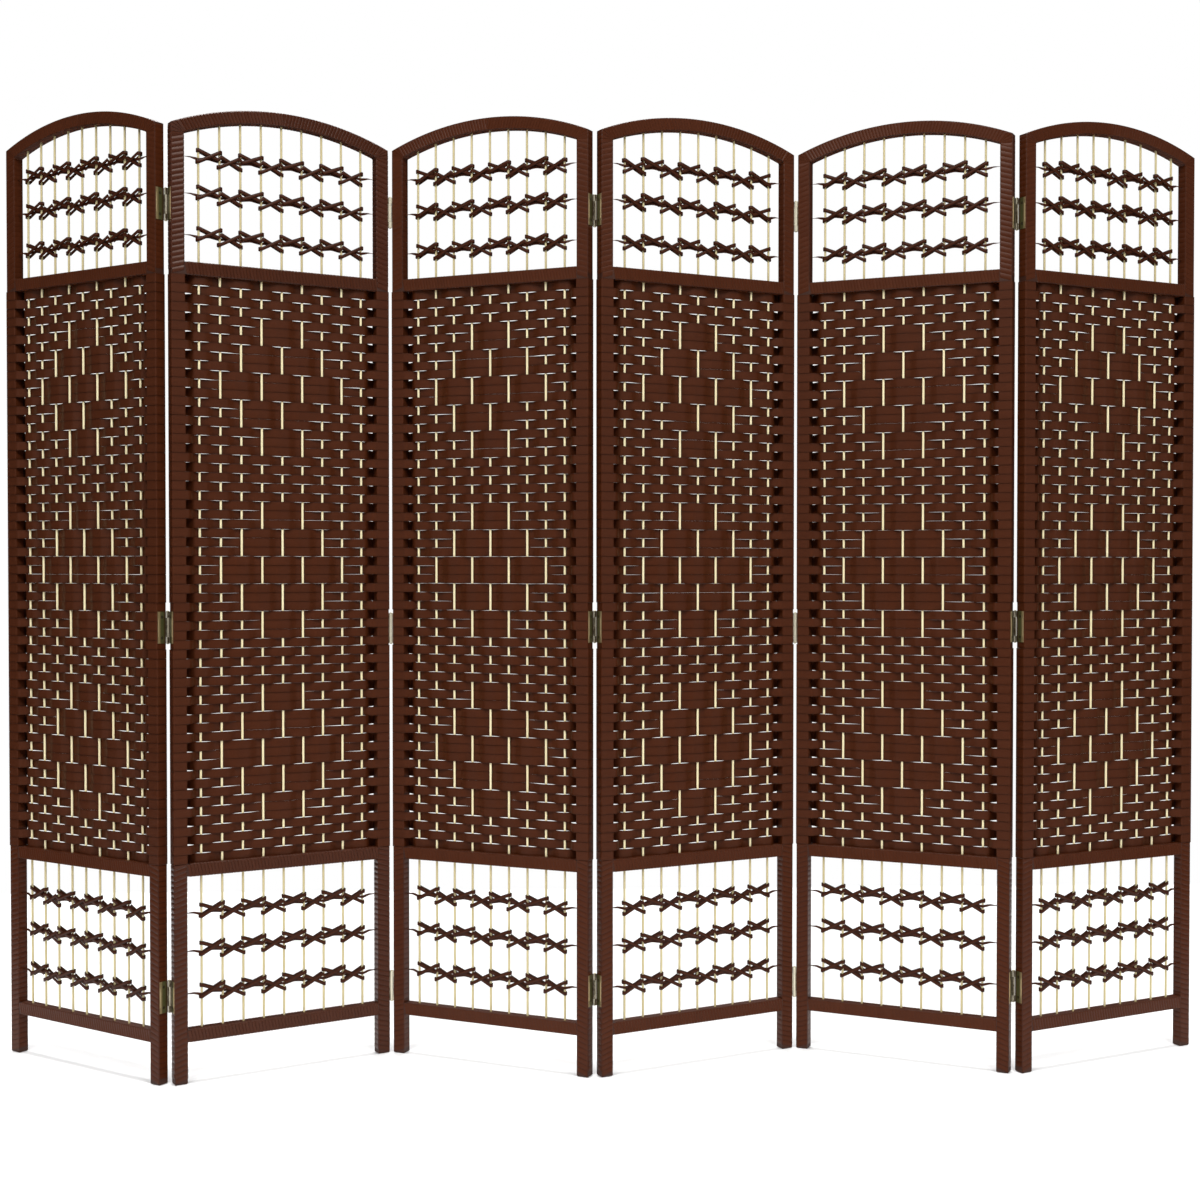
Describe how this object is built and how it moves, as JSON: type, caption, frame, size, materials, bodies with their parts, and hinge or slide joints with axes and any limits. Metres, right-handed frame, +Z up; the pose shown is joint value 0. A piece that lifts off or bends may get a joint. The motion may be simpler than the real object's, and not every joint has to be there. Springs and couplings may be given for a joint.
{
  "type": "folding room divider",
  "caption": "Folding screen of hinged wooden panels with arched tops, woven centres with stepped diamonds, and laced open windows.",
  "frame": {"origin": "middle of the screen's outline on the floor", "axes": "+X along the row of panels to the right, +Y from the front to the back, +Z up"},
  "size_m": [2.1998, 0.255, 1.7],
  "materials": {
    "frame": "wound with a flat dark brown paper fibre strip, satin",
    "rods": "plain pale wood, matt",
    "weft": "flat dark brown paper fibre strip, matt",
    "lacing": "flat dark brown paper fibre strands, matt",
    "hinge": "dull olive brass with brighter edges"
  },
  "bodies": {
    "panel_1": {"posts_1": "frame", "arch_rail_1": "frame", "cross_rails_1": "frame", "rods_1": "rods", "weave_1": "weft", "lacing_1": "lacing", "screws_1": "hinge", "leaf_left_1": "hinge", "hinge_pins_1": "hinge"},
    "panel_2": {"posts_2": "frame", "arch_rail_2": "frame", "cross_rails_2": "frame", "rods_2": "rods", "weave_2": "weft", "lacing_2": "lacing", "screws_2": "hinge", "leaf_left_2": "hinge", "hinge_pins_2": "hinge", "leaf_right_1": "hinge"},
    "panel_3": {"posts_3": "frame", "arch_rail_3": "frame", "cross_rails_3": "frame", "rods_3": "rods", "weave_3": "weft", "lacing_3": "lacing", "screws_3": "hinge", "leaf_left_3": "hinge", "hinge_pins_3": "hinge", "leaf_right_2": "hinge"},
    "panel_4": {"posts_4": "frame", "arch_rail_4": "frame", "cross_rails_4": "frame", "rods_4": "rods", "weave_4": "weft", "lacing_4": "lacing", "screws_4": "hinge", "leaf_left_4": "hinge", "hinge_pins_4": "hinge", "leaf_right_3": "hinge"},
    "panel_5": {"posts_5": "frame", "arch_rail_5": "frame", "cross_rails_5": "frame", "rods_5": "rods", "weave_5": "weft", "lacing_5": "lacing", "screws_5": "hinge", "leaf_left_5": "hinge", "hinge_pins_5": "hinge", "leaf_right_4": "hinge"},
    "panel_6": {"posts_6": "frame", "arch_rail_6": "frame", "cross_rails_6": "frame", "rods_6": "rods", "weave_6": "weft", "lacing_6": "lacing", "screws_6": "hinge", "leaf_right_5": "hinge"}
  },
  "joints": [
    {"name": "fold_3", "type": "hinge", "parent": "panel_3", "child": "panel_4", "pos_m": [-0.02067, -0.09302, 0], "axis": [0, 0, 1], "range_deg": [-53, 127]},
    {"name": "fold_4", "type": "hinge", "parent": "panel_4", "child": "panel_5", "pos_m": [0.35404, 0.06595, 0], "axis": [0, 0, -1], "range_deg": [-53.8, 126.2]},
    {"name": "fold_5", "type": "hinge", "parent": "panel_5", "child": "panel_6", "pos_m": [0.72475, -0.10213, 0], "axis": [0, 0, 1], "range_deg": [-52.9, 127.1]},
    {"name": "fold_2", "type": "hinge", "parent": "panel_3", "child": "panel_2", "pos_m": [-0.3937, 0.06987, 0], "axis": [0, 0, 1], "range_deg": [-56.1, 123.9]},
    {"name": "fold_1", "type": "hinge", "parent": "panel_2", "child": "panel_1", "pos_m": [-0.75927, -0.10913, 0], "axis": [0, 0, -1], "range_deg": [-65.2, 114.8]}
  ]
}
